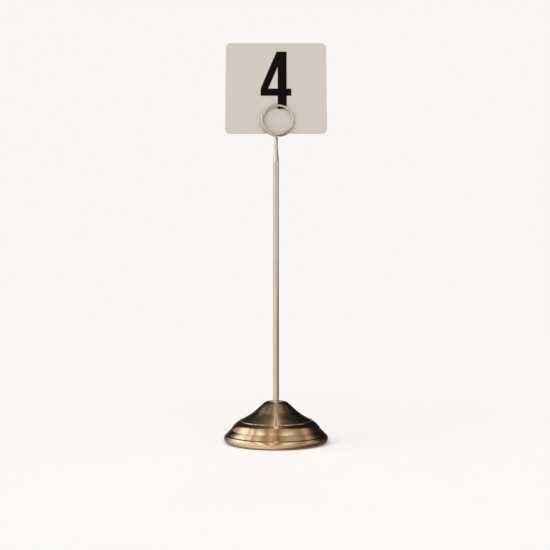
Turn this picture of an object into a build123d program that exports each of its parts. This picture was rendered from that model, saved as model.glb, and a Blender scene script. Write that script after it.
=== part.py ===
# Table number holder: a spun brass foot on an iron weight, a thin tube for a stem, and a coiled
# wire clip that pinches a printed number card between its turns.
# Millimetres, +Z up, -Y towards the reader. The origin is on the table, on the stem's axis.
from build123d import *
from math import cos, radians, sin, tan
import os

# ---- Driving dimensions -------------------------------------------------------------------
RING_TOP = 305.7            # table to the top of the wire ring, the nominal 12 inches
FOOT_RADIUS = 46.8          # widest part of the foot bead
DOME_TOP = 37.4             # table to the flat on top of the foot
SHEET = 0.8                 # thickness of the spun sheet
PAD_THICKNESS = 2.0         # felt under the weight
RIM_GAP = 0.5               # the sheet's rim stays this far above the table

TUBE_RADIUS = 2.6           # stem, outside
TUBE_BORE = 2.02            # stem, inside radius
SWAGE_START = 251.5         # the stem's top end tapers from here
SWAGE_END = 266.5           # to here, and is thin and straight above
STEM_TOP = 275.0
NECK_RADIUS = 1.65          # outside radius of the thin end
STUD_RADIUS = 2.0           # M4 stud, brazed into the stem's lower end
STUD_IN_TUBE = 14.0

WIRE_RADIUS = 1.15
RING_RADIUS = 13.9          # to the middle of the wire
FREE_RADIUS = 14.35         # the free front turn has sprung out a little
TIP_LENGTH = 5.6            # straight free end of the wire
RING_SIDE_SHIFT = 1.7       # the coil's centre stands this far beside the stem's axis
LEAN = 11.0                 # degrees that the clip and the card lean back
SHANK_IN_TUBE = 16.0

CARD_WIDTH = 92.2
CARD_HEIGHT = 88.0
CARD_THICKNESS = 1.2
CARD_CORNER = 5.0
CARD_EDGE = 0.35            # rounding of the moulded edge
CARD_PLAY = 0.2             # gap between the card and the wire on each face
NUMERAL_THICKNESS = 0.1

# ---- Places worked out from them ----------------------------------------------------------
FRONT_TURN = CARD_THICKNESS / 2 + CARD_PLAY + WIRE_RADIUS       # depth of each turn in the clip's frame
BACK_TURN = -FRONT_TURN
FREE_TURN = FRONT_TURN + 2 * WIRE_RADIUS + 0.05
CARD_BOTTOM = -(RING_RADIUS - WIRE_RADIUS) + 0.25               # just above the wire that crosses under it
UP = (sin(radians(LEAN)), cos(radians(LEAN)))                   # Y and Z of the direction up the card

# The clip's frame: x to the right, y up the leaning card, z towards the reader. Its origin is the
# middle of the coil, placed so that the back turn passes right over the stem.
CLIP = Plane(
    origin=(
        RING_SIDE_SHIFT,
        RING_RADIUS * UP[0] + BACK_TURN * UP[1],
        RING_TOP - WIRE_RADIUS - RING_RADIUS * UP[1] - FRONT_TURN * UP[0],
    ),
    x_dir=(1, 0, 0),
    z_dir=(0, -UP[1], UP[0]),
)


def rod(radius, bottom, top, chamfer_size=0.0):
    """A plain cylinder on the stem's axis."""
    body = Pos(0, 0, bottom) * Cylinder(radius, top - bottom, align=(Align.CENTER, Align.CENTER, Align.MIN))
    if chamfer_size:
        body = chamfer(body.edges().filter_by(GeomType.CIRCLE), chamfer_size)
    return body


# ---- Foot ---------------------------------------------------------------------------------
HOLE_RADIUS = STUD_RADIUS + 0.15
CROWN_RADIUS = 5.5          # flat on which the stem stands
SHOULDER_RADIUS = 8.5       # round shoulder of the dome
FLANK_ANGLE = 42.0          # steepest slope of the dome, in degrees
FLANK_RUN = 7.0
FLARE_RADIUS = 45.0         # hollow flare below the flank
FLARE_ANGLE = 27.0          # slope where the flare ends
SKIRT_RUN = 4.3             # straight skirt from the flare to the fine ridge


def foot_shell():
    """The spun cover: dome, flare, a fine ridge, a rounded step, a bead, and the foot bead."""
    flank, flare = radians(FLANK_ANGLE), radians(FLARE_ANGLE)
    shoulder_end = (
        CROWN_RADIUS + SHOULDER_RADIUS * sin(flank),
        DOME_TOP - SHOULDER_RADIUS * (1 - cos(flank)),
    )
    flare_start = (shoulder_end[0] + FLANK_RUN, shoulder_end[1] - FLANK_RUN * tan(flank))
    flare_end = (
        flare_start[0] + FLARE_RADIUS * (sin(flank) - sin(flare)),
        flare_start[1] - FLARE_RADIUS * (cos(flare) - cos(flank)),
    )
    ridge_start = (flare_end[0] + SKIRT_RUN, flare_end[1] - SKIRT_RUN * tan(flare))
    ridge_top = (ridge_start[0] + 0.55, ridge_start[1] + 0.02)
    ridge_end = (ridge_start[0] + 0.9, ridge_start[1] - 0.55)
    step_end = (FOOT_RADIUS - 6.3, 12.0)
    bead_end = (FOOT_RADIUS - 1.9, 7.5)
    foot_end = (FOOT_RADIUS - 1.5, 1.1)
    rim = (FOOT_RADIUS - 2.7, RIM_GAP)
    with BuildLine() as outer:
        Line((HOLE_RADIUS, DOME_TOP), (CROWN_RADIUS, DOME_TOP))
        RadiusArc((CROWN_RADIUS, DOME_TOP), shoulder_end, SHOULDER_RADIUS)
        Line(shoulder_end, flare_start)
        RadiusArc(flare_start, flare_end, -FLARE_RADIUS)
        Line(flare_end, ridge_start)
        ThreePointArc(ridge_start, ridge_top, ridge_end)
        ThreePointArc(ridge_end, (FOOT_RADIUS - 9.5, 16.3), step_end)
        ThreePointArc(step_end, (FOOT_RADIUS - 3.9, 9.9), bead_end)
        ThreePointArc(bead_end, (FOOT_RADIUS, 4.6), foot_end)
        Line(foot_end, rim)
    skin = offset(outer.wires()[0], amount=SHEET, side=Side.RIGHT, closed=True)
    return revolve(Plane.XZ * make_face(skin.edges()), Axis.Z)


WEIGHT_RADIUS = 42.8
WEIGHT_TOP = 8.0
HUB_RADIUS = 8.0
POCKET_RADIUS = 8.0
POCKET_TOP = 10.6
STUD_CLEARANCE = 0.3


def foot_weight():
    """Iron disc with a tall hub that holds the dome up; the pocket under it hides the nut."""
    hub_top = DOME_TOP - SHEET
    bore = STUD_RADIUS + STUD_CLEARANCE
    with BuildSketch(Plane.XZ) as section:
        with BuildLine():
            Polyline(
                (bore, POCKET_TOP),
                (POCKET_RADIUS, POCKET_TOP),
                (POCKET_RADIUS, PAD_THICKNESS),
                (WEIGHT_RADIUS, PAD_THICKNESS),
                (WEIGHT_RADIUS, WEIGHT_TOP - 2.0),
                (WEIGHT_RADIUS - 2.0, WEIGHT_TOP),
                (HUB_RADIUS + 9.0, WEIGHT_TOP + 1.5),
                (HUB_RADIUS + 3.0, WEIGHT_TOP + 5.0),
                (HUB_RADIUS, WEIGHT_TOP + 12.0),
                (HUB_RADIUS - 2.5, hub_top - 1.0),
                (HUB_RADIUS - 3.5, hub_top),
                (bore, hub_top),
                close=True,
            )
        make_face()
    return revolve(section.sketch, Axis.Z)


def felt_pad():
    """Felt disc glued under the weight. The holder rests on it."""
    return rod(WEIGHT_RADIUS, 0, PAD_THICKNESS)


# ---- Fastening under the foot -------------------------------------------------------------
WASHER_RADIUS = 6.0
WASHER_THICKNESS = 1.0
LOCK_RADIUS = 3.8
LOCK_THICKNESS = 1.0
LOCK_CUT = 0.5              # width of the spring washer's slanting cut
NUT_HEIGHT = 3.2
NUT_ACROSS_FLATS = 7.0
THREAD_STICKING_OUT = 1.2
WASHER_BOTTOM = POCKET_TOP - WASHER_THICKNESS
LOCK_BOTTOM = WASHER_BOTTOM - LOCK_THICKNESS
NUT_BOTTOM = LOCK_BOTTOM - NUT_HEIGHT


def flat_washer():
    """Flat washer against the roof of the weight's pocket."""
    blank = rod(WASHER_RADIUS, WASHER_BOTTOM, POCKET_TOP, chamfer_size=0.2)
    return blank - rod(STUD_RADIUS + 0.15, WASHER_BOTTOM, POCKET_TOP)


def lock_washer():
    """Spring washer, closed up under the nut, with its slanting cut."""
    ring = rod(LOCK_RADIUS, LOCK_BOTTOM, WASHER_BOTTOM) - rod(STUD_RADIUS + 0.1, LOCK_BOTTOM, WASHER_BOTTOM)
    middle = (LOCK_BOTTOM + WASHER_BOTTOM) / 2
    return ring - Pos(LOCK_RADIUS, 0, middle) * Rot(25, 0, 0) * Box(2 * STUD_RADIUS, LOCK_CUT, 3 * LOCK_THICKNESS)


def hex_nut():
    """Hexagon nut with its corners turned off."""
    corner_radius = NUT_ACROSS_FLATS / 2 / cos(radians(30))
    hexagon = Pos(0, 0, NUT_BOTTOM) * extrude(RegularPolygon(corner_radius, 6), NUT_HEIGHT)
    turned = rod(corner_radius, NUT_BOTTOM, LOCK_BOTTOM, chamfer_size=0.5)
    return (hexagon & turned) - rod(STUD_RADIUS, NUT_BOTTOM, LOCK_BOTTOM)


def threaded_stud():
    """Threaded stud from the stem's lower end down through the foot to the nut."""
    return rod(STUD_RADIUS, NUT_BOTTOM - THREAD_STICKING_OUT, DOME_TOP + STUD_IN_TUBE, chamfer_size=0.4)


# ---- Stem ---------------------------------------------------------------------------------
MOUTH_ROUNDING = 0.25
GRIP_RADIUS = WIRE_RADIUS + 0.02


def stem_tube():
    """Tube that stands on the dome. Its top end is swaged down onto the wire's shank."""
    with BuildSketch(Plane.XZ) as section:
        with BuildLine():
            Line((TUBE_RADIUS, DOME_TOP), (TUBE_RADIUS, SWAGE_START))
            Spline((TUBE_RADIUS, SWAGE_START), (NECK_RADIUS, SWAGE_END), tangents=((0, 1), (0, 1)))
            Polyline(
                (NECK_RADIUS, SWAGE_END),
                (NECK_RADIUS, STEM_TOP - MOUTH_ROUNDING),
                (NECK_RADIUS - MOUTH_ROUNDING, STEM_TOP),
                (GRIP_RADIUS, STEM_TOP),
                (GRIP_RADIUS, SWAGE_END - 1.5),
                (TUBE_BORE, SWAGE_START),
                (TUBE_BORE, DOME_TOP),
                (TUBE_RADIUS, DOME_TOP),
            )
        make_face()
    return revolve(section.sketch, Axis.Z)


# ---- Wire clip ----------------------------------------------------------------------------
# Angles run anticlockwise as the reader sees the ring, from its right-hand side.
FREE_FROM, FREE_TO = 180, 250       # free turn, from the straight tip
FRONT_FROM, FRONT_TO = 320, 605     # front turn, pressed on the card's face
BACK_FROM, BACK_TO = 295, 613       # back turn, behind the card
BEND_HANDLE = 1.5                   # sets how tightly the wire bends down into the shank


def on_coil(angle, depth, radius=RING_RADIUS):
    """Point of the wire's centre line at an angle on the ring and a depth, in the clip's frame."""
    return Vector(radius * cos(radians(angle)), radius * sin(radians(angle)), depth)


def along_coil(angle):
    """Direction in which the wire runs at an angle."""
    return Vector(-sin(radians(angle)), cos(radians(angle)), 0)


def turn(start, end, depth, radius=RING_RADIUS):
    """A flat part of the coil at one depth."""
    middle = (start + end) / 2
    return ThreePointArc(
        on_coil(start, depth, radius),
        on_coil(middle, depth, radius),
        on_coil(end, depth, radius),
    )


def crossing(start, end, begin, finish):
    """The stretch where the wire passes smoothly from one depth to the next along the ring."""
    handle = 4 / 3 * tan(radians(end - start) / 4) * RING_RADIUS
    return Bezier(begin, begin + along_coil(start) * handle, finish - along_coil(end) * handle, finish)


def wire_clip():
    """One wire: free tip, a turn in front of the card, a turn behind it, and the shank."""
    tip = on_coil(FREE_FROM, FREE_TURN, FREE_RADIUS) + Vector(0, TIP_LENGTH, 0)
    bend_start = on_coil(BACK_TO, BACK_TURN)
    shank_top = CLIP.to_local_coords(Vector(0, 0, STEM_TOP + 0.4))
    shank_bottom = CLIP.to_local_coords(Vector(0, 0, STEM_TOP - SHANK_IN_TUBE))
    down = (shank_bottom - shank_top).normalized()
    with BuildLine() as centre:
        Line(tip, on_coil(FREE_FROM, FREE_TURN, FREE_RADIUS))
        turn(FREE_FROM, FREE_TO, FREE_TURN, FREE_RADIUS)
        crossing(FREE_TO, FRONT_FROM, on_coil(FREE_TO, FREE_TURN, FREE_RADIUS), on_coil(FRONT_FROM, FRONT_TURN))
        turn(FRONT_FROM, FRONT_TO, FRONT_TURN)
        crossing(FRONT_TO - 360, BACK_FROM, on_coil(FRONT_TO, FRONT_TURN), on_coil(BACK_FROM, BACK_TURN))
        turn(BACK_FROM, BACK_TO, BACK_TURN)
        Bezier(
            bend_start,
            bend_start + along_coil(BACK_TO) * BEND_HANDLE,
            shank_top - down * BEND_HANDLE,
            shank_top,
        )
        Line(shank_top, shank_bottom)
    path = centre.wires()[0]
    section = Plane(origin=tip, z_dir=(0, -1, 0)) * Circle(WIRE_RADIUS)
    wire = sweep(section, path=path)
    print("wire: volume over section times length", wire.volume / (section.area * path.length))
    end_face = wire.faces().sort_by_distance(tip)[0]
    return CLIP.location * fillet(end_face.edges(), WIRE_RADIUS / 2)


# ---- Card ---------------------------------------------------------------------------------
def number_card():
    """Moulded plastic card with round corners, standing in the clip."""
    outline = RectangleRounded(CARD_WIDTH, CARD_HEIGHT, CARD_CORNER)
    blank = extrude(outline, CARD_THICKNESS / 2, both=True)
    flats = blank.faces().filter_by(Axis.Z)
    moulded = fillet(flats.edges(), CARD_EDGE)
    return CLIP.location * Pos(-RING_SIDE_SHIFT, CARD_BOTTOM + CARD_HEIGHT / 2, 0) * moulded


# The figure 4, measured sideways from the card's middle and upwards from its bottom edge.
BAR_LEFT, BAR_RIGHT = -14.05, 14.0
BAR_BOTTOM, BAR_TOP = 36.15, 43.1
POST_LEFT, POST_RIGHT = 1.55, 9.75
FIGURE_BOTTOM, FIGURE_TOP = 23.4, 79.2
APEX_LEFT = 0.5             # left end of the flat on top of the figure
WINDOW_LEFT = -7.1          # corner of the triangular window
WINDOW_TOP = 64.3


def numeral(side):
    """The figure 4 in thin vinyl on the card's front (side 1) or, readable from behind, on its back (-1)."""
    outline = Polyline(
        (APEX_LEFT, FIGURE_TOP),
        (POST_RIGHT, FIGURE_TOP),
        (POST_RIGHT, BAR_TOP),
        (BAR_RIGHT, BAR_TOP),
        (BAR_RIGHT, BAR_BOTTOM),
        (POST_RIGHT, BAR_BOTTOM),
        (POST_RIGHT, FIGURE_BOTTOM),
        (POST_LEFT, FIGURE_BOTTOM),
        (POST_LEFT, BAR_BOTTOM),
        (BAR_LEFT, BAR_BOTTOM),
        (BAR_LEFT, BAR_TOP),
        close=True,
    )
    window = Polyline((POST_LEFT, BAR_TOP), (POST_LEFT, WINDOW_TOP), (WINDOW_LEFT, BAR_TOP), close=True)
    figure = extrude(make_face(outline.edges()) - make_face(window.edges()), NUMERAL_THICKNESS)
    facing = Rot(0, 0, 0) if side > 0 else Rot(0, 180, 0)
    return CLIP.location * Pos(-RING_SIDE_SHIFT, CARD_BOTTOM, side * CARD_THICKNESS / 2) * facing * figure


# ---- The pieces ---------------------------------------------------------------------------
pieces = {
    "foot_shell": foot_shell(),
    "foot_weight": foot_weight(),
    "felt_pad": felt_pad(),
    "flat_washer": flat_washer(),
    "lock_washer": lock_washer(),
    "hex_nut": hex_nut(),
    "threaded_stud": threaded_stud(),
    "stem_tube": stem_tube(),
    "wire_clip": wire_clip(),
    "number_card": number_card(),
    "front_numeral": numeral(1),
    "back_numeral": numeral(-1),
}

os.makedirs("parts", exist_ok=True)
for name, shape in pieces.items():
    export_step(shape, f"parts/{name}.step")
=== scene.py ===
from math import cos, pi, radians, sin, tan

import bpy
import numpy as np
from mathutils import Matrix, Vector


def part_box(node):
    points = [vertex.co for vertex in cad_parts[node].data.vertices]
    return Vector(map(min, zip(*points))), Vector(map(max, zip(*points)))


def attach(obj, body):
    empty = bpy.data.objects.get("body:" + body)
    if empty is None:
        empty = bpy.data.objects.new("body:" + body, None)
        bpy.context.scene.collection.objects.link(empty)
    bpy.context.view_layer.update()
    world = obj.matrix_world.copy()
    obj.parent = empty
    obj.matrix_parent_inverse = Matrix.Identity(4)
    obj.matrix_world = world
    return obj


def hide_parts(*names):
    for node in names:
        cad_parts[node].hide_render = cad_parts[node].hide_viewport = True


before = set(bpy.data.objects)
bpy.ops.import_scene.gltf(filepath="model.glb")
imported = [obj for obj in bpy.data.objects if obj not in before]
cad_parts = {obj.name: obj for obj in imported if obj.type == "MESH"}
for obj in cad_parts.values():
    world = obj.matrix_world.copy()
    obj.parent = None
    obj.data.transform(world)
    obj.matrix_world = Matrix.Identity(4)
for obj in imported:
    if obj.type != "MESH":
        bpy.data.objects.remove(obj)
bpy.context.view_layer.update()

MM = 0.001

# ---- Camera ---------------------------------------------------------------------------------
# It stands in front of the holder at a little under half its height and looks very slightly up,
# so that the foot is seen from above and the card from below.
eye_distance = 870 * MM
eye_height = 138.5 * MM
eye_side = -0.9 * MM
look_up = 0.8
lens, sensor_width = 63.07, 36.0

camera = bpy.data.cameras.new("camera")
camera.lens = lens
camera.sensor_width = sensor_width
camera.clip_start = 10 * MM
camera_holder = bpy.data.objects.new("camera", camera)
camera_holder.location = (eye_side, -eye_distance, eye_height)
camera_holder.rotation_euler = (radians(90 + look_up), 0, 0)
bpy.context.scene.collection.objects.link(camera_holder)
bpy.context.scene.camera = camera_holder
bpy.context.scene.view_settings.view_transform = "Standard"


# ---- Foot shell -----------------------------------------------------------------------------
# A disc of thin brass sheet, spun over a form into a dome with a fine ridge, a rounded step and
# two beads, then polished while it turns and lacquered. The stem clamps it down on the weight.
foot_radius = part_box("foot_shell")[1].x / MM
crown_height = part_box("foot_shell")[1].z / MM
rim_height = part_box("foot_shell")[0].z / MM
sheet = 0.8
hole_radius = 2.15
crown_radius = 5.5
shoulder_radius = 8.5
flank_angle, flank_run = radians(42), 7.0
flare_angle, flare_radius = radians(27), 45.0
skirt_run = 4.3
ridge_top, ridge_foot = (0.55, 0.02), (0.9, -0.55)
step_middle, step_end = (foot_radius - 9.5, 16.3), (foot_radius - 6.3, 12.0)
groove_end = (foot_radius - 1.9, 7.5)
groove_middle = (foot_radius - 4.06, 9.79)
bead_middle, bead_end = (foot_radius, 4.6), (foot_radius - 1.5, 1.1)
rim = (foot_radius - 2.7, rim_height)
satin_from, satin_to = 19.0, 21.0


def arc(start, through, end, count):
    """Points evenly spaced on the circle through three points: its centre is equally far from all
    three, and the angle runs from the first point by way of the second to the last."""
    a, b, c = (complex(*point) for point in (start, through, end))
    w = (c - a) / (b - a)
    centre = a + (b - a) * (w - abs(w) ** 2) / (2j * w.imag)
    sweep = np.angle((b - centre) / (a - centre)) + np.angle((c - centre) / (b - centre))
    points = centre + (a - centre) * np.exp(1j * sweep * np.linspace(0, 1, count))
    return np.stack([points.real, points.imag], axis=1)


def softened(outline, spacing, rounding):
    """The outline at an even spacing, each point then the mean of its neighbours within half the
    rounding length, because sheet that is spun over a form keeps no sharp line."""
    steps = np.linalg.norm(np.diff(outline, axis=0), axis=1)
    distance = np.concatenate([[0], np.cumsum(steps)])
    even = np.linspace(0, distance[-1], int(distance[-1] / spacing) + 1)
    points = np.stack([np.interp(even, distance, outline[:, k]) for k in (0, 1)], axis=1)
    reach = max(1, int(rounding / spacing / 2))
    window = np.hanning(2 * reach + 3)[1:-1]
    window /= window.sum()
    first = 2 * points[0] - points[reach:0:-1]
    last = 2 * points[-1] - points[-2:-2 - reach:-1]
    padded = np.concatenate([first, points, last])
    return np.stack([np.convolve(padded[:, k], window, "valid") for k in (0, 1)], axis=1)


def sideways(outline):
    """Unit normals of an outline: its direction turned a quarter turn to the right."""
    along = np.gradient(outline, axis=0)
    along /= np.linalg.norm(along, axis=1)[:, None]
    return np.stack([along[:, 1], -along[:, 0]], axis=1)


def grid_piece(name, points, rows_close=False, columns_close=True, first_pole=None, last_pole=None):
    """A mesh over a grid of points (rows, columns, 3): neighbouring rows and columns are joined by
    four-sided faces, and a pole is one more point that closes the first or the last row."""
    rows, columns = points.shape[:2]
    i = np.arange(rows if rows_close else rows - 1)[:, None]
    j = np.arange(columns if columns_close else columns - 1)[None, :]
    below, beside = (i + 1) % rows, (j + 1) % columns
    corners = [i * columns + j, below * columns + j, below * columns + beside, i * columns + beside]
    faces = np.stack(np.broadcast_arrays(*corners), axis=-1).reshape(-1, 4).tolist()
    vertices = points.reshape(-1, 3)
    around = np.arange(columns)
    onward = (around + 1) % columns
    if first_pole is not None:
        pole = np.full(columns, len(vertices))
        faces += np.stack([around, onward, pole], axis=1).tolist()
        vertices = np.vstack([vertices, first_pole])
    if last_pole is not None:
        row = (rows - 1) * columns
        pole = np.full(columns, len(vertices))
        faces += np.stack([row + onward, row + around, pole], axis=1).tolist()
        vertices = np.vstack([vertices, last_pole])
    mesh = bpy.data.meshes.new(name)
    mesh.from_pydata((vertices * MM).tolist(), [], faces)
    mesh.polygons.foreach_set("use_smooth", np.ones(len(faces), bool))
    mesh.update()
    piece = bpy.data.objects.new(name, mesh)
    bpy.context.scene.collection.objects.link(piece)
    return piece


def turned(outline, count):
    """Grid of a surface turned about Z: a point (r, z) of the outline becomes the circle
    (r cos a, r sin a, z). The solid lies to the left of the outline as it runs."""
    angle = np.linspace(0, 2 * pi, count, endpoint=False)
    radius, height = outline[:, :1], outline[:, 1:]
    return np.stack([radius * np.cos(angle), radius * np.sin(angle), height + 0 * angle], axis=-1)


shoulder_end = np.array([
    crown_radius + shoulder_radius * sin(flank_angle),
    crown_height - shoulder_radius * (1 - cos(flank_angle)),
])
shoulder_middle = (
    crown_radius + shoulder_radius * sin(flank_angle / 2),
    crown_height - shoulder_radius * (1 - cos(flank_angle / 2)),
)
flare_start = shoulder_end + (flank_run, -flank_run * tan(flank_angle))
flare_middle_angle = (flank_angle + flare_angle) / 2
flare_middle, flare_end = (
    flare_start + flare_radius * np.array([
        sin(flank_angle) - sin(angle),
        cos(flank_angle) - cos(angle),
    ])
    for angle in (flare_middle_angle, flare_angle)
)
ridge_start = flare_end + (skirt_run, -skirt_run * tan(flare_angle))
ridge_end = ridge_start + ridge_foot
shell_outline = np.concatenate([
    [(hole_radius, crown_height)],
    arc((crown_radius, crown_height), shoulder_middle, shoulder_end, count=40),
    arc(flare_start, flare_middle, flare_end, count=40),
    arc(ridge_start, ridge_start + ridge_top, ridge_end, count=12),
    arc(ridge_end, step_middle, step_end, count=40)[1:],
    arc(step_end, groove_middle, groove_end, count=40)[1:],
    arc(groove_end, bead_middle, bead_end, count=60)[1:],
    [rim],
])
outer_skin = softened(shell_outline, spacing=0.3, rounding=0.5)
inner_guide = softened(shell_outline, spacing=0.6, rounding=4.0)
inner_skin = (inner_guide + sideways(inner_guide) * sheet)[::-1]
rim_middle = (outer_skin[-1] + inner_skin[0]) / 2
rim_tip = rim_middle + sideways(outer_skin)[-1] @ np.array([[0, -1], [1, 0]]) * sheet / 3
rolled_rim = arc(outer_skin[-1], rim_tip, inner_skin[0], count=9)[1:-1]
foot = grid_piece(
    "foot_skin",
    turned(np.concatenate([outer_skin, rolled_rim, inner_skin]), count=224),
    rows_close=True,
)


def new_material(name):
    """An empty material with its Principled shader, and a function that adds a node to it."""
    material = bpy.data.materials.new(name)
    material.use_nodes = True
    tree = material.node_tree
    shader = tree.nodes["Principled BSDF"]

    def add(kind, inputs=None, **settings):
        """One node; inputs maps a socket's name or number to a value or another node's output."""
        node = tree.nodes.new(kind)
        for key, value in settings.items():
            setattr(node, key, value)
        for key, value in (inputs or {}).items():
            if isinstance(value, bpy.types.NodeSocket):
                tree.links.new(value, node.inputs[key])
            else:
                node.inputs[key].default_value = value
        return node

    def link(output, key):
        tree.links.new(output, shader.inputs[key])

    return material, shader, add, link


def brass(name, colour, tarnish, polish, grain, grain_depth, satin_above=None):
    """Lacquered brass. Cloudy noise mixes its colour towards the tarnish, smudges make it duller,
    and noise stretched by grain, a scale along X, Y and Z, gives the fine lines of polishing. A
    spun piece, one with satin_above (two heights and how much duller it is above them), has its
    lines run round Z, and its shine is drawn out across them."""
    material, shader, add, link = new_material(name)
    shader.inputs["Metallic"].default_value = 1.0
    shader.inputs["Coat Weight"].default_value = 0.15
    shader.inputs["Coat Roughness"].default_value = 0.05
    place = add("ShaderNodeTexCoord").outputs["Object"]
    clouds = add("ShaderNodeTexNoise", {"Vector": place, "Scale": 55.0, "Detail": 4.0}).outputs[0]
    specks = add("ShaderNodeTexNoise", {"Vector": place, "Scale": 900.0, "Detail": 3.0}).outputs[0]
    clouded = add("ShaderNodeMapRange", {0: clouds, 1: 0.45, 2: 0.75, 3: 0.0, 4: 0.35}).outputs[0]
    specked = add("ShaderNodeMapRange", {0: specks, 1: 0.66, 2: 0.76, 3: 0.0, 4: 0.5}).outputs[0]
    share = add("ShaderNodeMath", {0: clouded, 1: specked}, operation="ADD").outputs[0]
    colours = {0: share, 6: (*colour, 1), 7: (*tarnish, 1)}
    link(add("ShaderNodeMix", colours, data_type="RGBA").outputs[2], "Base Color")
    smudge_scale = {"Vector": place, "Scale": 130.0, "Detail": 5.0, "Roughness": 0.6}
    smudges = add("ShaderNodeTexNoise", smudge_scale).outputs[0]
    dull = add("ShaderNodeMapRange", {0: smudges, 1: 0.4, 2: 0.8, 3: polish, 4: polish + 0.1})
    roughness, along_lines = dull.outputs[0], place
    if satin_above is not None:
        low, high, extra = satin_above
        height = add("ShaderNodeSeparateXYZ", {0: place}).outputs[2]
        satin = add("ShaderNodeMapRange", {0: height, 1: low, 2: high, 3: 0.0, 4: extra})
        duller = add("ShaderNodeMath", {0: roughness, 1: satin.outputs[0]}, operation="ADD")
        roughness = duller.outputs[0]
        shader.inputs["Anisotropic"].default_value = 0.9
        shader.inputs["Anisotropic Rotation"].default_value = 0.25
        link(add("ShaderNodeTangent", direction_type="RADIAL", axis="Z").outputs[0], "Tangent")
        outwards = add("ShaderNodeVectorMath", {0: place, 1: (1, 1, 0)}, operation="MULTIPLY")
        radius = add("ShaderNodeVectorMath", {0: outwards.outputs[0]}, operation="LENGTH")
        rings = add("ShaderNodeCombineXYZ", {0: radius.outputs["Value"], 1: 0.0, 2: height})
        along_lines = rings.outputs[0]
    link(roughness, "Roughness")
    stretched = add("ShaderNodeVectorMath", {0: along_lines, 1: grain}, operation="MULTIPLY")
    lines = add("ShaderNodeTexNoise", {"Vector": stretched.outputs[0], "Scale": 1.0, "Detail": 3.0})
    relief = {"Strength": 0.5, "Distance": grain_depth, "Height": lines.outputs[0]}
    link(add("ShaderNodeBump", relief).outputs[0], "Normal")
    return material


foot.data.materials.append(brass(
    "spun_brass",
    colour=(0.91, 0.73, 0.50),
    tarnish=(0.60, 0.42, 0.24),
    polish=0.04,
    grain=(3500, 3500, 3500),
    grain_depth=0.002 * MM,
    satin_above=(satin_from * MM, satin_to * MM, 0.08),
))
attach(foot, "stand")
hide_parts("foot_shell")


# ---- Foot weight ----------------------------------------------------------------------------
# A grey iron casting that fills the foot and keeps so tall a stand upright. Its hub reaches up to
# the crown, and the sheet is clamped between the hub and the stem.
def cast_iron():
    """Rough dark iron: coarse noise for the sand of the mould, fine noise for its pores."""
    material, shader, add, link = new_material("cast_iron")
    shader.inputs["Metallic"].default_value = 0.7
    place = add("ShaderNodeTexCoord").outputs["Object"]
    grit = {"Vector": place, "Scale": 600.0, "Detail": 8.0, "Roughness": 0.7}
    sand = add("ShaderNodeTexNoise", grit)
    rust = add("ShaderNodeTexNoise", {"Vector": place, "Scale": 90.0, "Detail": 5.0})
    colours = {0: rust.outputs[0], 6: (0.045, 0.042, 0.04, 1), 7: (0.11, 0.075, 0.055, 1)}
    link(add("ShaderNodeMix", colours, data_type="RGBA").outputs[2], "Base Color")
    rough = add("ShaderNodeMapRange", {0: sand.outputs[0], 1: 0.3, 2: 0.7, 3: 0.55, 4: 0.8})
    link(rough.outputs[0], "Roughness")
    bump = add("ShaderNodeBump", {"Strength": 0.6, "Distance": 0.0002, "Height": sand.outputs[0]})
    link(bump.outputs[0], "Normal")
    return material


def refinish(node, material):
    """Gives a CAD node's own mesh another material."""
    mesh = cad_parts[node].data
    mesh.materials.clear()
    mesh.materials.append(material)


refinish("foot_weight", cast_iron())


# ---- Felt pad -------------------------------------------------------------------------------
# A disc punched from green wool felt and glued under the weight, so that the iron does not
# scratch the table. Its faces are a little uneven and its cut edge is soft.
pad_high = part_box("felt_pad")[1]
pad_radius = pad_high.x / MM
pad_thickness = pad_high.z / MM
pad_round = 0.5
edge_wear = 0.0025
top_dip, bottom_rise = 0.12, 0.06


def felt_disc():
    """Grid of the pad: a turned outline with rounded edges, its radius and faces moved in by a sum
    of sines of the angle and the radius, as felt is never quite even."""
    rings = np.linspace(0.03, 1, 40) ** 0.7 * (pad_radius - pad_round)
    quarter = np.linspace(0, pi / 2, 7)
    edge_r = pad_radius - pad_round + pad_round * np.sin(quarter)
    edge_z = pad_round * (1 - np.cos(quarter))
    outline = np.concatenate([
        np.stack([rings, np.full_like(rings, pad_thickness)], axis=1),
        np.stack([edge_r, pad_thickness - edge_z], axis=1)[1:],
        np.stack([edge_r, edge_z], axis=1)[::-1],
        np.stack([rings, np.zeros_like(rings)], axis=1)[::-1][1:],
    ])
    points = turned(outline, count=180)
    angle = np.arctan2(points[..., 1], points[..., 0])
    radius = np.hypot(points[..., 0], points[..., 1])
    ragged = 1 + np.sin(17 * angle) * np.sin(5 * angle + 1) * np.sin(41 * angle)
    share = (radius / pad_radius) ** 8
    points[..., :2] *= (1 - edge_wear * share * ragged)[..., None]
    uneven = 0.5 + 0.5 * np.sin(0.9 * points[..., 0] + 1) * np.sin(0.8 * points[..., 1])
    top = points[..., 2] > pad_thickness / 2
    points[..., 2] += np.where(top, -top_dip, bottom_rise) * uneven
    return points


felt = grid_piece(
    "felt_disc",
    felt_disc(),
    first_pole=(0, 0, pad_thickness - top_dip / 2),
    last_pole=(0, 0, bottom_rise / 2),
)


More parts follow.
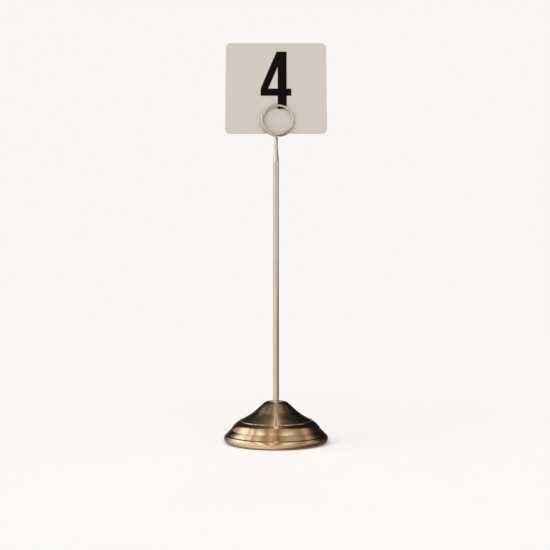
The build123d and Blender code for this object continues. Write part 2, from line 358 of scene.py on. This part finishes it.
def wool_felt():
    """Green felt: fine noise for matted fibres, stretched noise for single hairs."""
    material, shader, add, link = new_material("wool_felt")
    shader.inputs["Sheen Weight"].default_value = 0.4
    shader.inputs["Sheen Roughness"].default_value = 0.5
    shader.inputs["Roughness"].default_value = 0.95
    place = add("ShaderNodeTexCoord").outputs["Object"]
    fibres = {"Vector": place, "Scale": 1500.0, "Detail": 6.0, "Roughness": 0.7}
    matted = add("ShaderNodeTexNoise", fibres)
    stretched = add("ShaderNodeVectorMath", {0: place, 1: (400, 3500, 3500)}, operation="MULTIPLY")
    curled = {"Vector": stretched.outputs[0], "Scale": 1.0, "Distortion": 1.5}
    hairs = add("ShaderNodeTexNoise", curled)
    both = add("ShaderNodeMath", {0: matted.outputs[0], 1: hairs.outputs[0]}, operation="MULTIPLY")
    tone = add("ShaderNodeMapRange", {0: both.outputs[0], 1: 0.15, 2: 0.4})
    colours = {0: tone.outputs[0], 6: (0.008, 0.03, 0.014, 1), 7: (0.03, 0.1, 0.05, 1)}
    link(add("ShaderNodeMix", colours, data_type="RGBA").outputs[2], "Base Color")
    bump = add("ShaderNodeBump", {"Strength": 0.8, "Distance": 0.0003, "Height": both.outputs[0]})
    link(bump.outputs[0], "Normal")
    return material


felt.data.materials.append(wool_felt())
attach(felt, "stand")
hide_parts("felt_pad")


# ---- Stud, nut and washers --------------------------------------------------------------------
# Zinc-plated steel fastenings in the pocket under the weight. The stud is brazed into the stem,
# and the nut with its flat and spring washers draws the stem down on the foot.
def zinc_plate():
    """Bright zinc with the cloudy spangle of plating and fine machining marks."""
    material, shader, add, link = new_material("zinc_plate")
    shader.inputs["Metallic"].default_value = 1.0
    place = add("ShaderNodeTexCoord").outputs["Object"]
    spangle = add("ShaderNodeTexVoronoi", {"Vector": place, "Scale": 700.0})
    colours = {0: spangle.outputs["Distance"], 6: (0.5, 0.52, 0.55, 1), 7: (0.68, 0.69, 0.7, 1)}
    link(add("ShaderNodeMix", colours, data_type="RGBA").outputs[2], "Base Color")
    marks = add("ShaderNodeTexNoise", {"Vector": place, "Scale": 2500.0, "Detail": 4.0})
    rough = add("ShaderNodeMapRange", {0: marks.outputs[0], 1: 0.3, 2: 0.7, 3: 0.25, 4: 0.42})
    link(rough.outputs[0], "Roughness")
    bump = add("ShaderNodeBump", {"Strength": 0.3, "Distance": 0.00003, "Height": marks.outputs[0]})
    link(bump.outputs[0], "Normal")
    return material


zinc = zinc_plate()
for fastening in ("flat_washer", "lock_washer", "hex_nut", "threaded_stud"):
    refinish(fastening, zinc)


# ---- Stem -----------------------------------------------------------------------------------
# A thin drawn brass tube that stands on the crown. Its top is swaged down to a neck that grips
# the wire, and it is polished lengthwise.
stem_low, stem_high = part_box("stem_tube")
stem_bottom, stem_top = stem_low.z / MM, stem_high.z / MM
tube_radius = stem_high.x / MM
tube_bore = 2.02
neck_radius = 1.65
swage_start, swage_end = stem_top - 23.5, stem_top - 8.5
mouth_round = 0.25
grip_radius = 1.17

taper = np.linspace(0, 1, 60)
ease = 3 * taper ** 2 - 2 * taper ** 3
mouth_outside = (
    (neck_radius - mouth_round, stem_top),
    (neck_radius - mouth_round * 0.3, stem_top - mouth_round * 0.3),
    (neck_radius, stem_top - mouth_round),
)
plain_heights = np.linspace(swage_start, stem_bottom + 0.1, 160)[1:]
stem_outline = np.concatenate([
    mouth_outside,
    [(neck_radius, swage_end + 1.0)],
    np.stack([neck_radius + (tube_radius - neck_radius) * ease,
              swage_end + (swage_start - swage_end) * taper], axis=1),
    np.stack([np.full_like(plain_heights, tube_radius), plain_heights], axis=1),
    [(tube_radius - 0.1, stem_bottom), (tube_bore, stem_bottom)],
    [(tube_bore, swage_start), (grip_radius, swage_end - 1.5), (grip_radius, stem_top)],
])
stem = grid_piece("stem", turned(stem_outline, 64), rows_close=True)
stem.data.materials.append(brass(
    "drawn_brass",
    colour=(0.93, 0.86, 0.72),
    tarnish=(0.72, 0.60, 0.45),
    polish=0.08,
    grain=(2500, 2500, 120),
    grain_depth=0.0015 * MM,
))
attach(stem, "stand")
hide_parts("stem_tube")


# ---- Wire clip ------------------------------------------------------------------------------
# One length of hard brass-plated wire, coiled a little over two turns. The card stands between
# the front and the back turn, the free tip springs out at the upper left, and the other end bends
# down into the stem.
wire_radius = 1.15
ring_radius, free_radius = 13.9, 14.35
tip_length = 5.6
tip_round = 0.5
lean = radians(11)
card_thickness, card_play = 1.2, 0.2
front_turn = card_thickness / 2 + card_play + wire_radius
back_turn = -front_turn
free_turn = front_turn + 2 * wire_radius + 0.05
free_to, front_from, front_to = 250, 320, 605
back_from, back_to = 295, 613
bend_handle = 1.5
shank_length = 16.0

up_card = np.array([0, sin(lean), cos(lean)])
to_reader = np.array([0, -cos(lean), sin(lean)])
ring_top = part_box("wire_clip")[1].z / MM
ring_centre = np.array([
    1.7,
    ring_radius * sin(lean) + back_turn * cos(lean),
    ring_top - wire_radius - ring_radius * cos(lean) - front_turn * sin(lean),
])


def leaning(points):
    """Points of the clip's own frame (x across, y up the card, z to the reader) in the room."""
    x, y, z = (points[..., k, None] for k in range(3))
    return ring_centre + x * np.array([1, 0, 0]) + y * up_card + z * to_reader


def on_coil(angle, depth, radius=ring_radius):
    """Points of the wire's middle line: (r cos a, r sin a, depth), the angle in degrees."""
    a = np.radians(np.atleast_1d(angle))
    return np.stack([radius * np.cos(a), radius * np.sin(a), depth + 0 * a], axis=1)


def along_coil(angle):
    """The wire's direction at an angle, in the plane of the ring."""
    return np.array([-sin(radians(angle)), cos(radians(angle)), 0])


def straight(start, end, count):
    """Points evenly spaced from start to end."""
    return start + (end - start) * np.linspace(0, 1, count)[:, None]


def bezier(start, start_pull, end_pull, end, count):
    """Cubic curve: the four points weighted by (1-t)^3, 3t(1-t)^2, 3t^2(1-t) and t^3."""
    t = np.linspace(0, 1, count)[:, None]
    first_half = (1 - t) ** 3 * start + 3 * t * (1 - t) ** 2 * start_pull
    return first_half + 3 * t ** 2 * (1 - t) * end_pull + t ** 3 * end


def crossing(start_angle, end_angle, start, end, count):
    """The stretch where the wire passes from one depth to the next while it follows the ring."""
    pull = 4 / 3 * tan(radians(end_angle - start_angle) / 4) * ring_radius
    start_pull = start + along_coil(start_angle) * pull
    end_pull = end - along_coil(end_angle) * pull
    return bezier(start, start_pull, end_pull, end, count)


def stem_axis(height):
    """A point of the stem's axis, in the clip's frame."""
    offset = np.array([0, 0, height]) - ring_centre
    return np.array([offset[0], offset @ up_card, offset @ to_reader])


free_end = on_coil(free_to, free_turn, free_radius)[0]
front_start = on_coil(front_from, front_turn)[0]
front_end = on_coil(front_to, front_turn)[0]
back_start = on_coil(back_from, back_turn)[0]
back_end = on_coil(back_to, back_turn)[0]
shank_top, shank_bottom = stem_axis(stem_top + 0.4), stem_axis(stem_top - shank_length)
down = (shank_bottom - shank_top) / np.linalg.norm(shank_bottom - shank_top)
free_start = on_coil(180, free_turn, free_radius)[0]
back_pull = back_end + along_coil(back_to) * bend_handle
shank_pull = shank_top - down * bend_handle
wire_line = np.concatenate([
    straight(free_start + (0, tip_length, 0), free_start, 24),
    on_coil(np.linspace(180, free_to, 50)[1:], free_turn, free_radius),
    crossing(free_to, front_from, free_end, front_start, 50)[1:],
    on_coil(np.linspace(front_from, front_to, 200)[1:], front_turn),
    crossing(front_to - 360, back_from, front_end, back_start, 40)[1:],
    on_coil(np.linspace(back_from, back_to, 220)[1:], back_turn),
    bezier(back_end, back_pull, shank_pull, shank_top, 24)[1:],
    straight(shank_top, shank_bottom, 20)[1:],
])


def wire_grid(line, count):
    """A round wire along a line: each point becomes a circle across the line's direction. The
    radius follows a quarter circle at the tip, so that its end is rounded."""
    along = np.gradient(line, axis=0)
    along /= np.linalg.norm(along, axis=1)[:, None]
    side = np.cross(along, (0, 0, 1))
    side /= np.linalg.norm(side, axis=1)[:, None]
    across = np.cross(side, along)
    angle = np.linspace(0, 2 * pi, count, endpoint=False)[None, :, None]
    rise = np.linspace(0, tip_round, 7)
    tip_radii = wire_radius - tip_round + np.sqrt(tip_round ** 2 - (tip_round - rise) ** 2)
    tip_points = line[0] + along[0] * rise[:, None]
    line = np.concatenate([tip_points, line[2:]])
    radii = np.concatenate([tip_radii, np.full(len(line) - 7, wire_radius)])[:, None, None]
    side = np.concatenate([np.repeat(side[:1], 7, axis=0), side[2:]])
    across = np.concatenate([np.repeat(across[:1], 7, axis=0), across[2:]])
    circle = np.cos(angle) * side[:, None] + np.sin(angle) * across[:, None]
    return line[:, None] + radii * circle


clip = grid_piece(
    "ring_wire",
    leaning(wire_grid(wire_line, 32)),
    first_pole=leaning(wire_line[0]),
    last_pole=leaning(wire_line[-1]),
)
clip.data.materials.append(brass(
    "plated_wire",
    colour=(0.84, 0.83, 0.76),
    tarnish=(0.56, 0.53, 0.46),
    polish=0.07,
    grain=(1500, 1500, 1500),
    grain_depth=0.001 * MM,
))
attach(clip, "stand")
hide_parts("wire_clip")


# ---- Number card ----------------------------------------------------------------------------
# A stiff moulded card of ivory-white plastic with round corners and a fine satin texture. It
# stands in the clip and slides up out of it.
card_width, card_height = 92.2, 88.0
card_corner, card_edge = 5.0, 0.35
card_bottom = -(ring_radius - wire_radius) + 0.25


def card_grid():
    """Grid of a plate: every row is a rounded rectangle around the card, from the middle of its
    front over the rounded edge to the middle of its back. A corner is a quarter circle."""
    quarter = np.linspace(0, pi / 2, 13)
    turn = np.concatenate([quarter + k * pi / 2 for k in range(4)])
    side = np.repeat([(1, 1), (-1, 1), (-1, -1), (1, -1)], 13, axis=0)
    rise = np.linspace(0, pi / 2, 6)
    near_side, near_face = card_edge * (1 - np.sin(rise)), card_edge * (1 - np.cos(rise))
    inset = np.concatenate([near_side, near_face])
    half = card_thickness / 2
    depth = np.concatenate([half - near_face, -half + near_side])
    inner = np.linspace(0.04, 1, 12, endpoint=False)
    shrink = np.concatenate([inner, [0.995], np.ones(len(inset)), [0.995], inner[::-1]])[:, None]
    pad = (13, 13)
    inset = np.pad(inset, pad, mode="edge")[:, None]
    depth = np.pad(depth, pad, mode="edge")[:, None]
    radius = card_corner - inset
    x = side[:, 0] * (card_width / 2 - card_corner) + radius * np.cos(turn)
    y = side[:, 1] * (card_height / 2 - card_corner) + radius * np.sin(turn)
    x, y = x * shrink, y * shrink
    return np.stack([x - ring_centre[0], y + card_bottom + card_height / 2, depth + 0 * x], axis=-1)


card_rows = card_grid()
card_middle = np.array([-ring_centre[0], card_bottom + card_height / 2, card_thickness / 2])
card = grid_piece(
    "card_plate",
    leaning(card_rows),
    first_pole=leaning(card_middle),
    last_pole=leaning(card_middle - (0, 0, card_thickness)),
)


def ivory_plastic():
    """Satin ivory plastic: broad noise for slight yellowing, fine noise for the moulded texture."""
    material, shader, add, link = new_material("ivory_plastic")
    shader.inputs["Specular IOR Level"].default_value = 0.4
    shader.inputs["Subsurface Weight"].default_value = 0.05
    shader.inputs["Subsurface Radius"].default_value = (0.002, 0.0015, 0.001)
    place = add("ShaderNodeTexCoord").outputs["Object"]
    broad = add("ShaderNodeTexNoise", {"Vector": place, "Scale": 22.0, "Detail": 3.0})
    colours = {0: broad.outputs[0], 6: (0.56, 0.54, 0.495, 1), 7: (0.58, 0.56, 0.51, 1)}
    link(add("ShaderNodeMix", colours, data_type="RGBA").outputs[2], "Base Color")
    texture = add("ShaderNodeTexNoise", {"Vector": place, "Scale": 2600.0, "Detail": 3.0})
    rough = add("ShaderNodeMapRange", {0: texture.outputs[0], 1: 0.3, 2: 0.7, 3: 0.42, 4: 0.55})
    link(rough.outputs[0], "Roughness")
    relief = {"Strength": 0.25, "Distance": 0.00003, "Height": texture.outputs[0]}
    link(add("ShaderNodeBump", relief).outputs[0], "Normal")
    return material


card.data.materials.append(ivory_plastic())
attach(card, "card")
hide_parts("number_card")


# ---- Numerals -------------------------------------------------------------------------------
# The figure is cut from thin matt black vinyl and stuck on both faces of the card.
def black_vinyl():
    """Matt black film with a faint orange-peel surface and a trace of brown in the black."""
    material, shader, add, link = new_material("black_vinyl")
    shader.inputs["Specular IOR Level"].default_value = 0.05
    place = add("ShaderNodeTexCoord").outputs["Object"]
    broad = add("ShaderNodeTexNoise", {"Vector": place, "Scale": 60.0, "Detail": 3.0})
    colours = {0: broad.outputs[0], 6: (0.002, 0.002, 0.002, 1), 7: (0.006, 0.005, 0.004, 1)}
    link(add("ShaderNodeMix", colours, data_type="RGBA").outputs[2], "Base Color")
    peel = add("ShaderNodeTexNoise", {"Vector": place, "Scale": 1200.0, "Detail": 2.0})
    rough = add("ShaderNodeMapRange", {0: peel.outputs[0], 1: 0.3, 2: 0.7, 3: 0.5, 4: 0.62})
    link(rough.outputs[0], "Roughness")
    bump = add("ShaderNodeBump", {"Strength": 0.2, "Distance": 0.00003, "Height": peel.outputs[0]})
    link(bump.outputs[0], "Normal")
    return material


vinyl = black_vinyl()
for figure in ("front_numeral", "back_numeral"):
    refinish(figure, vinyl)


# ---- Floor and backdrop -----------------------------------------------------------------------
# A plain pale table top that sweeps up into a round wall, so that every side has the same quiet
# ground. The wall is only a background: brass and light pass it by.
table_radius = 1500.0
flat_radius, sweep_radius, wall_height = 1800.0, 500.0, 1500.0
sweep = np.linspace(0, pi / 2, 40)
sweep_out, sweep_up = sweep_radius * np.sin(sweep), sweep_radius * (1 - np.cos(sweep))
wall_outline = np.concatenate([
    [(table_radius, 0.0)],
    np.stack([flat_radius + sweep_out, sweep_up], axis=1),
    [(flat_radius + sweep_radius, wall_height)],
])
table_outline = np.stack([np.linspace(10.0, table_radius, 12), np.zeros(12)], axis=1)
table = grid_piece("table_top", turned(table_outline, count=128), first_pole=(0, 0, 0))
wall = grid_piece("backdrop", turned(wall_outline, count=128))


def pale_paint(name, own_light):
    """Matt off-white paint with hardly any mottling. With own_light at 1 it is lit only from
    within, so that it is as pale as the table from every side."""
    material, shader, add, link = new_material(name)
    shader.inputs["Roughness"].default_value = 0.9
    shader.inputs["Specular IOR Level"].default_value = 0.1
    shader.inputs["Emission Color"].default_value = (0.947, 0.925, 0.9, 1)
    shader.inputs["Emission Strength"].default_value = own_light
    place = add("ShaderNodeTexCoord").outputs["Object"]
    broad = add("ShaderNodeTexNoise", {"Vector": place, "Scale": 6.0, "Detail": 2.0})
    levels = ((1 - own_light) * level for level in (0.93, 0.95))
    darker, lighter = ((level, level * 1.005, level * 1.01, 1) for level in levels)
    colours = {0: broad.outputs[0], 6: darker, 7: lighter}
    link(add("ShaderNodeMix", colours, data_type="RGBA").outputs[2], "Base Color")
    return material


table.data.materials.append(pale_paint("table_paint", own_light=0.0))
wall.data.materials.append(pale_paint("wall_paint", own_light=1.0))
table.visible_glossy = False
wall.visible_glossy = False
wall.visible_diffuse = False
wall.visible_transmission = False
wall.visible_shadow = False


# ---- Light ----------------------------------------------------------------------------------
# Soft light from broad lamps, which the polished brass does not mirror, in a room with pale
# panels around the reader and a dark ceiling, which it does.
daylight = (0.97, 0.99, 1.0)


def soft_light(name, azimuth, elevation, spread, power):
    """Light from far away that comes from an azimuth (0 is the reader's side, positive is to the
    right) and an elevation, spread over a wide part of the sky so that its shadows are soft."""
    light = bpy.data.lights.new(name, "SUN")
    light.angle = radians(spread)
    light.energy = power
    light.color = daylight
    holder = bpy.data.objects.new(name, light)
    holder.rotation_euler = (radians(90 - elevation), 0, radians(azimuth))
    holder.visible_glossy = False
    bpy.context.scene.collection.objects.link(holder)


soft_light("key_light", azimuth=-35, elevation=55, spread=70, power=1.4)
soft_light("fill_light", azimuth=50, elevation=40, spread=90, power=0.6)
soft_light("back_light", azimuth=170, elevation=50, spread=90, power=0.5)

room = bpy.data.worlds.new("room")
room.use_nodes = True
bpy.context.scene.world = room
tree = room.node_tree
direction = tree.nodes.new("ShaderNodeTexCoord").outputs["Generated"]
split = tree.nodes.new("ShaderNodeSeparateXYZ")
tree.links.new(direction, split.inputs[0])
sidewards, backwards, upwards = split.outputs


def calculate(operation, *values):
    """One Math node on numbers or on other nodes' outputs."""
    node = tree.nodes.new("ShaderNodeMath")
    node.operation = operation
    for k, value in enumerate(values):
        if isinstance(value, bpy.types.NodeSocket):
            tree.links.new(value, node.inputs[k])
        else:
            node.inputs[k].default_value = value
    return node.outputs[0]


def ramp(position, stops):
    """A colour ramp whose stops are (position from 0 to 1, brightness, tint)."""
    node = tree.nodes.new("ShaderNodeValToRGB")
    tree.links.new(position, node.inputs[0])
    while len(node.color_ramp.elements) < len(stops):
        node.color_ramp.elements.new(0.5)
    for element, (place, brightness, tint) in zip(node.color_ramp.elements, stops):
        element.position = place
        element.color = (*(brightness * part for part in tint), 1)
    return node.outputs[0]


def blended(below, above, position, low, high):
    """The first colour where the position is under low, the second where it is over high."""
    share = tree.nodes.new("ShaderNodeMapRange")
    share.interpolation_type = "SMOOTHSTEP"
    tree.links.new(position, share.inputs[0])
    share.inputs[1].default_value = low
    share.inputs[2].default_value = high
    mix = tree.nodes.new("ShaderNodeMix")
    mix.data_type = "RGBA"
    tree.links.new(share.outputs[0], mix.inputs[0])
    tree.links.new(below, mix.inputs[6])
    tree.links.new(above, mix.inputs[7])
    return mix.outputs[2]


white = (1, 1, 0.97)
buff = (1, 0.81, 0.64)
brown = (1, 0.65, 0.48)
grey = (1, 0.95, 0.90)
frontwards = calculate("MULTIPLY", backwards, -1.0)
strip_lean = 0.9
lifted = calculate("MULTIPLY", calculate("MAXIMUM", upwards, 0.0), strip_lean)
around_reader = calculate("ARCTAN2", sidewards, calculate("ADD", frontwards, lifted))
around = calculate("ADD", calculate("DIVIDE", around_reader, 2 * pi), 0.5)
across = calculate("ADD", calculate("DIVIDE", sidewards, 2.0), 0.5)


def by_degrees(stops):
    """A ramp around the holder; 0 degrees is towards the reader and positive is to the right."""
    return ramp(around, [((degrees + 180) / 360, level, tint) for degrees, level, tint in stops])


def by_side(stops):
    """A ramp from the far left, -1, to the far right, 1."""
    return ramp(across, [((side + 1) / 2, level, tint) for side, level, tint in stops])


def by_height(below, above, low, high):
    """One colour under a height and another over it, both heights in degrees from the horizon."""
    return blended(below, above, upwards, sin(radians(low)), sin(radians(high)))


# Upright strips of window, curtain and wood around and above the reader.
front_panels = by_degrees([
    (-180, 0.22, brown), (-150, 0.26, brown), (-128, 0.34, buff), (-108, 0.50, buff),
    (-92, 0.85, white), (-74, 1.30, white), (-60, 1.25, white), (-50, 0.75, white),
    (-43, 1.05, white), (-36, 0.55, buff), (-27, 1.15, white), (-21, 0.95, white),
    (-16, 0.42, buff), (-12, 0.40, buff), (-7, 0.95, buff), (-2, 0.58, buff), (3, 0.36, brown),
    (8, 0.60, buff), (13, 0.90, white), (20, 0.85, white), (27, 0.62, white), (34, 0.42, buff),
    (42, 0.30, brown), (60, 0.48, buff), (72, 0.30, brown), (84, 0.10, brown), (100, 0.02, grey),
    (180, 0.02, grey),
])
# The same strips near the ceiling, where they are dimmer.
high_panels = by_degrees([
    (-180, 0.15, brown), (-130, 0.20, buff), (-95, 0.40, buff), (-70, 0.62, buff),
    (-55, 0.55, buff), (-44, 0.60, buff), (-36, 0.38, buff), (-26, 0.55, buff), (-14, 0.32, buff),
    (-6, 0.55, buff), (3, 0.26, brown), (9, 0.40, buff), (17, 0.48, buff), (30, 0.34, buff),
    (42, 0.24, brown), (60, 0.26, brown), (80, 0.08, brown), (100, 0.02, grey), (180, 0.02, grey),
])
# What stands just above the horizon on every side.
wall_panels = by_degrees([
    (-180, 0.40, white), (-170, 0.10, buff), (-130, 0.10, buff), (-108, 0.90, white),
    (-40, 0.70, white), (-15, 0.58, white), (0, 0.42, buff), (20, 0.62, white), (60, 0.58, white),
    (95, 0.48, grey), (110, 0.03, grey), (168, 0.03, grey), (180, 0.40, white),
])
# The table top and the floor, in place of the pale ground, which brass does not mirror.
floor_tones = by_degrees([
    (-180, 0.35, buff), (-130, 0.35, buff), (-105, 0.68, white), (-60, 0.70, white),
    (-42, 0.85, buff), (-20, 0.82, buff), (-5, 0.64, buff), (12, 0.64, buff), (22, 0.60, buff),
    (38, 0.50, buff), (60, 0.32, brown), (84, 0.14, brown), (110, 0.08, brown),
    (150, 0.08, brown), (180, 0.35, buff),
])
# Behind the holder it is dark but for one narrow strip.
back_panels = by_side([
    (-1.0, 0.08, buff), (-0.8, 0.05, buff), (-0.6, 0.02, grey), (-0.13, 0.02, grey),
    (-0.06, 0.40, white), (0.06, 0.40, white), (0.13, 0.01, grey), (1.0, 0.01, grey),
])
# The ceiling is dark, with one lit strip that runs towards the reader.
ceiling = by_side([
    (-1.0, 0.05, buff), (-0.8, 0.03, grey), (-0.5, 0.03, grey), (-0.25, 0.09, buff),
    (-0.12, 0.17, buff), (-0.05, 0.36, buff), (-0.02, 1.10, white), (0.02, 1.10, white),
    (0.05, 0.34, buff), (0.12, 0.12, brown), (0.3, 0.02, grey), (0.7, 0.008, grey),
    (1.0, 0.008, grey),
])

# The strips reach over the reader to just past overhead, and further round the lower it is.
reach_at_horizon, reach_lost_overhead, reach_past_overhead = 2.1, 2.07, 0.01
reach_lost = calculate("MULTIPLY", upwards, reach_lost_overhead)
side_gain = calculate("SUBTRACT", reach_at_horizon, reach_lost)
side_reach = calculate("MULTIPLY", side_gain, calculate("ABSOLUTE", sidewards))
overhead = calculate("MULTIPLY", upwards, reach_past_overhead)
lit_side = calculate("ADD", calculate("ADD", frontwards, overhead), side_reach)
rear = by_height(back_panels, ceiling, 38, 52)
front = by_height(front_panels, high_panels, 50, 78)
above = blended(rear, front, lit_side, -0.06, 0.08)
level_up = by_height(wall_panels, above, 8, 14)
everywhere = by_height(floor_tones, level_up, -3, 3)
tree.links.new(everywhere, tree.nodes["Background"].inputs[0])
tree.nodes["Background"].inputs[1].default_value = 1.0
